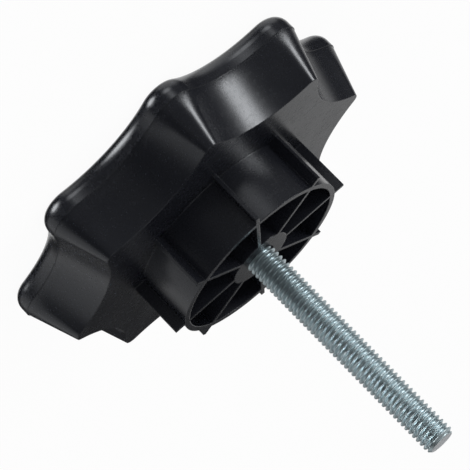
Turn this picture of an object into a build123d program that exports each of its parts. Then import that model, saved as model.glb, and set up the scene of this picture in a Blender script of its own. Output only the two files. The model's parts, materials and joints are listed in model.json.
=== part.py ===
from build123d import *
from math import atan2, cos, degrees, radians, sin
import os

# Spare wheel clamp bolt: an eight-lobed plastic hand knob, moulded around the head of a steel screw.
# The bolt stands on its head. Z = 0 is the flat top of the knob, +Z runs along the stud to its free
# end, and the first lobe points along +X. All sizes are in millimetres.

# Star-shaped head, sized at its underside, where the wall is narrowest.
lobe_count = 8
scoop_radius = 36.65  # axis to the bottom of a finger scoop
lobe_reach = 7.6  # how far a lobe's tip stands out beyond the scoops
nose_radius = 2.3  # rounding of a lobe's tip

# Drafted wall between the underside and the parting line.
grip_height = 12.7
grip_flare = 4.35  # how far the wall leans out on its way to the parting line

# Rounded rim between the parting line and the flat top.
rim_land = 2.0  # straight band above the parting line
rim_round = 3.6
rim_step = 0.15  # ledge by which the rim stands out from the wall

# Hollow hub on the underside, stiffened by radial ribs that go on outside it as centring fins.
hub_height = 14.3
hub_radius = 23.65
hub_wall = 1.5
fin_reach = 2.85  # how far a fin stands out of the hub
rib_thickness = 1.0

# Hexagon screw, size M8, threaded all the way to the hub, with its shank and head buried in the knob.
thread_radius = 3.95  # over the crests of the thread
shank_radius = 3.6  # plain buried shank, the blank that the thread was rolled on
run_out_length = 1.0  # between the shank and the full thread, just inside the hub
stud_reach = 60.6  # threaded length that stands out of the hub
stud_end_chamfer = 0.8
hex_across_flats = 13.0
hex_height = 5.3
moulding_gap = 0.0  # the plastic is moulded straight on to the steel

# Plastic around the screw.
boss_wall = 4.6  # around the shank, in the middle of the hub
head_cover = 7.9  # between the knob's flat top and the screw's head
pocket_floor_cover = 1.8  # between the screw's head and the level of the pockets' floors

# Levels along the axis.
parting_level = rim_round + rim_land
underside_level = parting_level + grip_height
hub_end_level = underside_level + hub_height
run_out_level = hub_end_level - run_out_length
stud_end_level = hub_end_level + stud_reach
hex_top_level = head_cover + hex_height
pocket_floor_level = hex_top_level + pocket_floor_cover

lobe_pitch = 360 / lobe_count
boss_radius = shank_radius + boss_wall
pocket_outer_radius = hub_radius - hub_wall
fin_radius = hub_radius + fin_reach


def polar(radius, angle):
    """Point of the XY plane at a radius and an angle in degrees."""
    return Vector(radius * cos(radians(angle)), radius * sin(radians(angle)))


def star_profile(growth=0):
    """Lobed outline in the XY plane: the underside's outline, moved outwards by growth.

    Each convex nose runs into the concave scoops beside it in a tangent, so the scoops' own
    radius follows from the nose, the reach of the lobes and the scoops' distance from the axis.
    """
    nose = nose_radius + growth
    valley = scoop_radius + growth
    nose_centre = valley + lobe_reach - nose
    half_pitch = lobe_pitch / 2
    reach = nose_centre * cos(radians(half_pitch))
    scoop = (nose**2 - nose_centre**2 - valley**2 + 2 * valley * reach) / (2 * (valley - reach - nose))
    nose_to_scoop = polar(valley + scoop, half_pitch) - polar(nose_centre, 0)
    tangent_point = polar(nose_centre, 0) + nose_to_scoop * (nose / (nose + scoop))
    tangent_radius = tangent_point.length
    tangent_angle = degrees(atan2(tangent_point.Y, tangent_point.X))

    arcs = []
    for lobe in range(lobe_count):
        axis_angle = lobe * lobe_pitch
        nose_start = polar(tangent_radius, axis_angle - tangent_angle)
        nose_end = polar(tangent_radius, axis_angle + tangent_angle)
        scoop_end = polar(tangent_radius, axis_angle + lobe_pitch - tangent_angle)
        arcs.append(ThreePointArc(nose_start, polar(nose_centre + nose, axis_angle), nose_end))
        arcs.append(ThreePointArc(nose_end, polar(valley, axis_angle + half_pitch), scoop_end))
    return make_face(Curve(arcs))


def edges_at(solid, level):
    """Edges of a solid that lie in the horizontal plane at a level."""
    return solid.edges().filter_by_position(Axis.Z, level, level)


def grip():
    """Finger grip: the star leans out evenly from the underside down to the parting line."""
    lean = degrees(atan2(grip_flare, grip_height))
    underside = Plane.XY.offset(underside_level) * star_profile()
    return extrude(underside, -grip_height, taper=-lean)


def rim():
    """Rim below the parting line, with a small ledge to the wall and a rounded top edge."""
    slab = extrude(star_profile(grip_flare + rim_step), parting_level)
    return fillet(edges_at(slab, 0), rim_round)


def hub():
    """Drum of the hub with its centring fins, before the pockets are cut."""
    outline = Circle(hub_radius)
    for rib in range(lobe_count):
        fin = Pos(fin_radius / 2, 0) * Rectangle(fin_radius, rib_thickness)
        outline += Rot(0, 0, rib * lobe_pitch) * fin
    return extrude(Plane.XY.offset(underside_level) * outline, hub_height)


def pocket_outline():
    """One pocket, between two ribs, the boss and the hub's wall, with its middle along +X."""
    half_pitch = radians(lobe_pitch / 2)
    corner = rib_thickness / 2 / sin(half_pitch)
    run = 2 * hub_radius
    between_ribs = make_face(
        Polyline(
            (corner, 0),
            (corner + run * cos(half_pitch), -run * sin(half_pitch)),
            (corner + run * cos(half_pitch), run * sin(half_pitch)),
            close=True,
        )
    )
    return (Circle(pocket_outer_radius) - Circle(boss_radius)) & between_ribs


def pockets():
    """The blind pockets between the ribs, as solids to be cut out of the knob."""
    floor = Plane.XY.offset(pocket_floor_level)
    pocket = extrude(floor * pocket_outline(), hub_end_level - pocket_floor_level)
    return [Rot(0, 0, (index + 0.5) * lobe_pitch) * pocket for index in range(lobe_count)]


def screw(gap=0):
    """Screw from its buried hexagon head to its chamfered end, grown by a gap inside the knob."""
    hexagon = RegularPolygon(hex_across_flats / 2 + gap, 6, major_radius=False)
    head = extrude(Plane.XY.offset(head_cover - gap) * hexagon, hex_height + 2 * gap)
    shank_section = Plane.XY.offset(hex_top_level) * Circle(shank_radius + gap)
    shank = extrude(shank_section, run_out_level - hex_top_level)
    upright = (Align.CENTER, Align.CENTER, Align.MIN)
    cone = Cone(shank_radius + gap, thread_radius + gap, run_out_length, align=upright)
    run_out = Pos(0, 0, run_out_level) * cone
    stud = extrude(Plane.XY.offset(hub_end_level) * Circle(thread_radius), stud_reach)
    stud = chamfer(edges_at(stud, stud_end_level), stud_end_chamfer)
    return head + shank + run_out + stud


def knob():
    """The whole moulding, hollowed by its pockets and by the screw that it holds."""
    return rim() + grip() + hub() - pockets() - screw(moulding_gap)


os.makedirs("parts", exist_ok=True)
for name, piece in {"knob": knob(), "stud": screw()}.items():
    export_step(piece, f"parts/{name}.step")
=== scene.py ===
import json
from math import cos, pi, radians, sin, tan

import bmesh
import bpy
from mathutils import Matrix, Vector


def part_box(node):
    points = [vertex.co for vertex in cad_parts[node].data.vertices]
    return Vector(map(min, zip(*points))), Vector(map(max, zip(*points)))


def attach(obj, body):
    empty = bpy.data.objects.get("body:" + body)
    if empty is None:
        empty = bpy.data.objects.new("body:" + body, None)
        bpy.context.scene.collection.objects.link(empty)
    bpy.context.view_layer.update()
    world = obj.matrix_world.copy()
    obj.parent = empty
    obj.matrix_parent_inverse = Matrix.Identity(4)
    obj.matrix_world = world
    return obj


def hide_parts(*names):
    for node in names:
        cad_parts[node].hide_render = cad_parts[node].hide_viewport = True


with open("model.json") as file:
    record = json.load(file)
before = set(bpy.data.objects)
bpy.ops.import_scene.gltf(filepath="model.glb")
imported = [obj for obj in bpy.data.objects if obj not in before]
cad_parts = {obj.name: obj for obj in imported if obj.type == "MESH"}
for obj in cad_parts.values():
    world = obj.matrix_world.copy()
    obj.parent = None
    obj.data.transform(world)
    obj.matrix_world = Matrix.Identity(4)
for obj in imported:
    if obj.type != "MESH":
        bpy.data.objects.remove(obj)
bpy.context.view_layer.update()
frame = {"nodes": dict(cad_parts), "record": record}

# Everything is in metres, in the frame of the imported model: the bolt stands on its head at z = 0,
# its stud points up along +Z, and the camera looks at it from the +Y side.
MM = 0.001
white = (1, 1, 1, 1)
mounts = {mount["name"]: mount for mount in frame["record"]["mounts"]}
hub_end = Vector((0, 0, mounts["hub_end"]["pos_m"][2]))
stud_base, stud_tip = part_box("stud")
knob_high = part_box("knob")[1]


def scene_object(name, data):
    """New object with its data, linked to the scene."""
    made = bpy.data.objects.new(name, data)
    bpy.context.scene.collection.objects.link(made)
    return made


def empty_tree(owner):
    """Clear the nodes of a material or the world, and return a function that adds new ones.

    The function takes a node's kind, its inputs in order or by name, and its settings. An input is
    a value, another node's output, or another node, which then stands for its first output.
    """
    owner.use_nodes = True
    tree = owner.node_tree
    tree.nodes.clear()

    def add(kind, inputs=(), **settings):
        node = tree.nodes.new(kind)
        for name, value in settings.items():
            setattr(node, name, value)
        pairs = inputs.items() if isinstance(inputs, dict) else enumerate(inputs)
        for key, value in pairs:
            if isinstance(value, bpy.types.Node):
                value = value.outputs[0]
            if isinstance(value, bpy.types.NodeSocket):
                tree.links.new(value, node.inputs[key])
            else:
                node.inputs[key].default_value = value
        return node

    return add


def direction(azimuth, elevation):
    """Unit vector towards an azimuth and an elevation in degrees."""
    across = cos(radians(elevation))
    along_x = across * cos(radians(azimuth))
    along_y = across * sin(radians(azimuth))
    return Vector((along_x, along_y, sin(radians(elevation))))


def place_camera():
    """Camera at the photograph's viewing angle, rolled so that the stud points down to the right."""
    forward = direction(azimuth=-77.913, elevation=-15.495)
    roll = radians(135.52)
    distance = 0.621004  # along the line of sight, to the middle of the hub's end
    hub_end_pixel = (260.54, 258.04)  # where that point lies in the frame
    frame_width = 470
    focal_pixels = 2669.75
    level_right = forward.cross(Vector((0, 0, 1))).normalized()
    level_up = level_right.cross(forward)
    right = level_right * cos(roll) + level_up * sin(roll)
    up = right.cross(forward)
    offset = [(pixel - frame_width / 2) / focal_pixels * distance for pixel in hub_end_pixel]
    pose = Matrix((right, up, -forward)).transposed().to_4x4()
    pose.translation = hub_end - right * offset[0] + up * offset[1] - forward * distance
    optics = bpy.data.cameras.new("camera")
    optics.lens = optics.sensor_width * focal_pixels / frame_width
    optics.clip_start = 0.05
    optics.clip_end = 20
    camera = scene_object("camera", optics)
    camera.matrix_world = pose
    bpy.context.scene.camera = camera


# Materials: small helpers for their nodes, then the plastic and the plating.
def noise(add, place, scale, detail):
    """Noise of a given fineness, fixed to the object."""
    return add("ShaderNodeTexNoise", {"Vector": place, "Scale": scale, "Detail": detail})


def mapped(add, value, low, high, start=0, end=1):
    """Number that goes from low to high while a value goes from start to end."""
    return add("ShaderNodeMapRange", (value, start, end, low, high))


def tinted(add, value, dark, light, start=0, end=1):
    """Colour that goes from dark to light while a value goes from start to end."""
    ramp = add("ShaderNodeValToRGB", (value,))
    stops = ramp.color_ramp.elements
    stops[0].position = start
    stops[0].color = (*dark, 1)
    stops[1].position = end
    stops[1].color = (*light, 1)
    return ramp


def relief(add, height, strength, depth, **below):
    """Surface normals of a relief, which can lie on other normals that are given as Normal."""
    return add("ShaderNodeBump", {"Height": height, "Strength": strength, "Distance": depth, **below})


# The grip's wall bends softly into the parting line. Its shading is rounded by the bend's radius at
# that line, and less and less above it, up to the level where the wall is straight.
parting_level = 5.6 * MM
straight_level = 10.8 * MM
bend_radius = 8.0 * MM
edge_radius = 0.25 * MM  # rounding of every edge of the moulding


def plastic_normals(add, place):
    """Surface normals of the moulding: rounded edges, faint ripples and a fine grain."""
    height = add("ShaderNodeSeparateXYZ", (place,)).outputs["Z"]
    on_wall = add("ShaderNodeMath", (height, parting_level), operation="GREATER_THAN")
    bend = mapped(add, height, low=bend_radius, high=0, start=parting_level, end=straight_level)
    radius = add("ShaderNodeMath", (on_wall, bend, edge_radius), operation="MULTIPLY_ADD")
    rounded = add("ShaderNodeBevel", {"Radius": radius}, samples=8)
    waves = noise(add, place, scale=60, detail=1)
    grain = noise(add, place, scale=2600, detail=2)
    ripple = relief(add, waves, strength=0.12, depth=0.3 * MM, Normal=rounded)
    return relief(add, grain, strength=0.065, depth=0.02 * MM, Normal=ripple)


def moulded_plastic():
    """Black moulded plastic, semi-gloss, uneven in tone and gloss, with a fine scuffing."""
    material = bpy.data.materials.new("moulded_plastic")
    add = empty_tree(material)
    place = add("ShaderNodeTexCoord").outputs["Object"]
    tone = noise(add, place, scale=90, detail=4)
    scuffs = noise(add, place, scale=900, detail=6)
    colour = tinted(add, tone, dark=(0.0070, 0.0077, 0.0108), light=(0.0102, 0.0111, 0.0152))
    gloss = mapped(add, tone, low=0.21, high=0.31)
    worn = mapped(add, scuffs, low=0, high=0.05, start=0.52, end=0.72)
    surface = {
        "Base Color": colour,
        "Roughness": add("ShaderNodeMath", (gloss, worn), operation="ADD"),
        "Specular Tint": (0.93, 0.96, 1.0, 1),
        "Normal": plastic_normals(add, place),
    }
    shader = add("ShaderNodeBsdfPrincipled", surface)
    add("ShaderNodeOutputMaterial", (shader,))
    return material


def zinc_plated_steel():
    """Bright zinc plating, slightly blue and uneven, with a duller cut end whose lighter colour is
    painted light on its end face.
    """
    cut_end_depth = 0.02 * MM
    # Painted light: the end face is coloured lighter than the plating, standing in for light that falls
    # on it; its extra roughness is real dullness.
    painted_light_end_colour = (0.80, 0.82, 0.84, 1)
    dull_end_roughness = 0.45  # on top of the plating's
    material = bpy.data.materials.new("zinc_plated_steel")
    add = empty_tree(material)
    place = add("ShaderNodeTexCoord").outputs["Object"]
    height = add("ShaderNodeSeparateXYZ", (place,)).outputs["Z"]
    at_end = add("ShaderNodeMath", (height, stud_tip.z - cut_end_depth), operation="GREATER_THAN")
    tone = noise(add, place, scale=900, detail=5)
    dark, light = (0.445, 0.525, 0.555), (0.58, 0.68, 0.71)
    plating = tinted(add, tone, dark, light, start=0.3, end=0.7)
    # The end face takes the lighter colour, which is painted light.
    colours = {"Factor": at_end, "A": plating, "B": painted_light_end_colour}
    gloss = mapped(add, tone, low=0.34, high=0.46)
    grain = noise(add, place, scale=4000, detail=3)
    surface = {
        "Base Color": add("ShaderNodeMix", colours, data_type="RGBA").outputs["Result"],
        "Metallic": 1,
        "Roughness": add("ShaderNodeMath", (at_end, dull_end_roughness, gloss), operation="MULTIPLY_ADD"),
        "Normal": relief(add, grain, strength=0.05, depth=0.02 * MM),
    }
    shader = add("ShaderNodeBsdfPrincipled", surface)
    add("ShaderNodeOutputMaterial", (shader,))
    return material


def make_knob():
    """The knob keeps its exact solid and gets the moulded plastic."""
    knob = frame["nodes"]["knob"]
    knob.data.materials.clear()
    knob.data.materials.append(moulded_plastic())


# Screw: a metric right-handed thread, which runs out just inside the hub into a plain shank, and a
# hexagon head.
inset = 0.01 * MM  # keeps thread and shank a hair inside the plain solid that the mesh replaces
pitch = 1.25 * MM
crest_radius = mounts["stud"]["dims"]["r_mm"] * MM - inset
root_radius = 3.24 * MM
crest_width = pitch / 8
crest_round = 0.035 * MM
flank_slope = tan(radians(60))  # fall in radius per length along the axis
end_chamfer = 0.8 * MM
shank_radius = 3.6 * MM - inset
run_out_length = 1.0 * MM
run_out_slope = (crest_radius - shank_radius) / run_out_length
head_height = 5.3 * MM
head_across_flats = 13.0 * MM

# Mesh of the thread: it starts where the thread has run out. The helix is made longer than needed at
# both ends, and then cut off level.
thread_start = hub_end.z - 1.2 * MM
lead_in = 1.5 * pitch
extra_turns = 3
columns = 96  # around the stud
sharp_angle = radians(40)
weld_distance = 0.001 * MM


def thread_profile():
    """One pitch of the thread as points (distance along the axis, radius), from crest to crest."""
    half_crest = crest_width / 2
    root_start = half_crest + (crest_radius - root_radius) / flank_slope
    half_root = pitch / 2 - root_start

    def on_flank(along):
        return (along, crest_radius - (along - half_crest) * flank_slope)

    points = [
        # Narrow rounding of the crest's edge.
        (half_crest - 1.6 * crest_round, crest_radius),
        (half_crest - crest_round, crest_radius),
        (half_crest, crest_radius - 0.35 * crest_round),
        # Two points close to each end of the flank, so that all between them shades flat.
        on_flank(half_crest + 0.5 * crest_round),
        on_flank(half_crest + 0.8 * crest_round),
        on_flank(root_start - 0.7 * half_root),
        on_flank(root_start - 0.3 * half_root),
        # Round root.
        (root_start + 0.35 * half_root, root_radius + 0.12 * half_root),
    ]
    half = points + [(pitch / 2, root_radius)]
    return half + [(pitch - along, radius) for along, radius in reversed(points)]


def trimmed(radius, z):
    """A radius of the thread at a height, less what the end's chamfer and the run-out take off."""
    chamfered = crest_radius - max(0, z - (stud_tip.z - end_chamfer))
    run_out = shank_radius + (z - (hub_end.z - run_out_length)) * run_out_slope
    return min(radius, chamfered, max(run_out, shank_radius))


def thread_rows(bm, profile):
    """Vertices of the helix, with a row for each point of the profile in each turn.

    A row climbs by one pitch on its way round, so its end meets the start of the row a turn above.
    """
    start = thread_start - lead_in
    turns = int((stud_tip.z - thread_start) / pitch) + extra_turns
    rows = []
    for turn in range(turns):
        for along, radius in profile:
            row = []
            for column in range(columns):
                angle = 2 * pi * column / columns
                z = start + turn * pitch + along + pitch * column / columns
                reach = trimmed(radius, z)
                row.append(bm.verts.new((reach * cos(angle), reach * sin(angle), z)))
            rows.append(row)
    return rows


def cut_off(bm, level, side):
    """Cut away what lies above a level (side 1) or below it (side -1)."""
    bmesh.ops.bisect_plane(
        bm,
        geom=[*bm.verts, *bm.edges, *bm.faces],
        plane_co=(0, 0, level),
        plane_no=(0, 0, side),
        clear_outer=True,
    )


def add_thread(bm):
    """The threaded length as an open tube, cut off level at both ends."""
    profile = thread_profile()
    rows = thread_rows(bm, profile)
    rounds = [row + [above[0]] for row, above in zip(rows, rows[len(profile):])]
    for lower, upper in zip(rounds, rounds[1:]):
        for corners in zip(lower, lower[1:], upper[1:], upper):
            bm.faces.new(corners)
    cut_off(bm, stud_tip.z, 1)
    cut_off(bm, thread_start, -1)


def shank_reach(outwards):
    """Distance from the axis to the side of the shank, which is the same in every direction."""
    return shank_radius


def head_reach(outwards):
    """Distance from the axis to the side of the hexagon head, which has a corner along +X."""
    flats = [direction(30 + 60 * side, 0).xy for side in range(6)]
    return head_across_flats / 2 / max(outwards.dot(flat) for flat in flats)


def add_shank_and_head(bm):
    """Shank and head below the thread, drawn out of its lower end, and caps on both ends."""
    edges = [edge for edge in bm.edges if edge.is_boundary and edge.verts[0].co.z < hub_end.z]
    head_top = stud_base.z + head_height
    sections = (
        (shank_reach, thread_start),
        (shank_reach, head_top),
        (head_reach, head_top),
        (head_reach, stud_base.z),
    )
    for reach, level in sections:
        grown = bmesh.ops.extrude_edge_only(bm, edges=edges)["geom"]
        edges = [item for item in grown if isinstance(item, bmesh.types.BMEdge)]
        for vertex in [item for item in grown if isinstance(item, bmesh.types.BMVert)]:
            outwards = vertex.co.xy.normalized()
            distance = reach(outwards)
            vertex.co = (outwards.x * distance, outwards.y * distance, level)
    bmesh.ops.holes_fill(bm, edges=[edge for edge in bm.edges if edge.is_boundary])


def shade_smooth(bm):
    """Smooth shading everywhere but over the sharp edges."""
    for face in bm.faces:
        face.smooth = True
    for edge in bm.edges:
        edge.smooth = len(edge.link_faces) == 2 and edge.calc_face_angle() < sharp_angle


def make_stud():
    """The whole screw as one closed mesh with its thread, in place of the plain solid."""
    bm = bmesh.new()
    add_thread(bm)
    add_shank_and_head(bm)
    bmesh.ops.remove_doubles(bm, verts=bm.verts, dist=weld_distance)
    bmesh.ops.recalc_face_normals(bm, faces=bm.faces)
    shade_smooth(bm)
    mesh = bpy.data.meshes.new("threaded_stud")
    bm.to_mesh(mesh)
    bm.free()
    mesh.materials.append(zinc_plated_steel())
    stud = scene_object("threaded_stud", mesh)
    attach(stud, "root")
    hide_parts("stud")


def pale_floor():
    """Floor that glows white to the camera, apart from a share of paint that shows the shadow.

    Reflections look through it, at the studio that the world describes in all directions.
    """
    shadow_share = 0.05
    material = bpy.data.materials.new("pale_floor")
    add = empty_tree(material)
    ray = add("ShaderNodeLightPath").outputs
    share = add("ShaderNodeMath", (ray["Is Camera Ray"], 1 - shadow_share), operation="MULTIPLY")
    paint = add("ShaderNodeBsdfDiffuse", ((0.8, 0.8, 0.8, 1),))
    glow = add("ShaderNodeEmission", (white, 1.0))
    clear = add("ShaderNodeBsdfTransparent")
    plain = add("ShaderNodeMixShader", (share, paint, glow))
    seen = add("ShaderNodeMixShader", (ray["Is Glossy Ray"], plain, clear))
    add("ShaderNodeOutputMaterial", (seen,))
    return material


def make_floor():
    """Plain pale floor, on which the bolt's soft shadow stays faintly visible."""
    half_size = 6.0
    corners = [(x * half_size, y * half_size, 0) for x, y in ((-1, -1), (1, -1), (1, 1), (-1, 1))]
    mesh = bpy.data.meshes.new("floor")
    mesh.from_pydata(corners, [], [(0, 1, 2, 3)])
    mesh.materials.append(pale_floor())
    floor = scene_object("floor", mesh)


# Soft panels of the studio, as reflections see them: azimuth, elevation, half width of the bright
# core and half width where it has faded out, all in degrees, and radiance.
panels = (
    (147, -52, 8.5, 20, 12.5),
    (60, -32, 8, 18, 3.9),
    (8, -56, 16, 34, 1.15),
    (-163, -3, 22, 42, 0.78),
    (-51, 10, 24.5, 28, 0.68),
    (-68, -30, 22, 36, 1.05),
    (-40, 42, 22, 32, 0.6),
    (-110, 38, 12, 26, 0.7),
    (100, 62, 14, 28, 1.2),
    (60, 5, 50, 80, 0.13),
)
dim_level = 0.03  # between the panels
diffuse_level = 0.7  # even light of the studio on matt surfaces


def make_softbox():
    """Square softbox on the right of the photograph, turned to the bolt."""
    side = 0.28
    radiance = 13
    distance = 0.9
    outwards = direction(azimuth=30, elevation=10)
    lamp = bpy.data.lights.new("right_softbox", "AREA")
    lamp.size = side
    lamp.energy = radiance * pi * side**2
    box = scene_object("right_softbox", lamp)
    box.rotation_euler = outwards.to_track_quat("Z", "Y").to_euler()
    box.location = Vector((0, 0, knob_high.z)) + outwards * distance


def studio_level(add):
    """Radiance of the studio in each direction, which is that of the brightest panel there."""
    place = add("ShaderNodeTexCoord").outputs["Generated"]
    level = add("ShaderNodeValue").outputs[0]
    level.default_value = dim_level
    for azimuth, elevation, core, edge, radiance in panels:
        middle = direction(azimuth, elevation)
        towards = add("ShaderNodeVectorMath", (place, middle), operation="DOT_PRODUCT").outputs["Value"]
        fade = (towards, cos(radians(edge)), cos(radians(core)), 0, radiance)
        panel = add("ShaderNodeMapRange", fade, interpolation_type="SMOOTHSTEP")
        level = add("ShaderNodeMath", (level, panel), operation="MAXIMUM")
    return level


def make_world():
    """World with panels for glossy surfaces and even light for matt ones, white to the camera."""
    world = bpy.data.worlds.new("studio")
    bpy.context.scene.world = world
    world.cycles.sampling_method = "NONE"
    add = empty_tree(world)
    ray = add("ShaderNodeLightPath").outputs
    levels = {"Factor": ray["Is Glossy Ray"], "A": diffuse_level, "B": studio_level(add)}
    strength = add("ShaderNodeMix", levels)
    for white_to in ("Is Camera Ray", "Is Transmission Ray"):
        strength = add("ShaderNodeMath", (strength, ray[white_to]), operation="MAXIMUM")
    background = add("ShaderNodeBackground", (white, strength))
    add("ShaderNodeOutputWorld", (background,))


place_camera()
make_knob()
make_stud()
make_floor()
make_softbox()
make_world()
bpy.context.scene.view_settings.view_transform = "Standard"
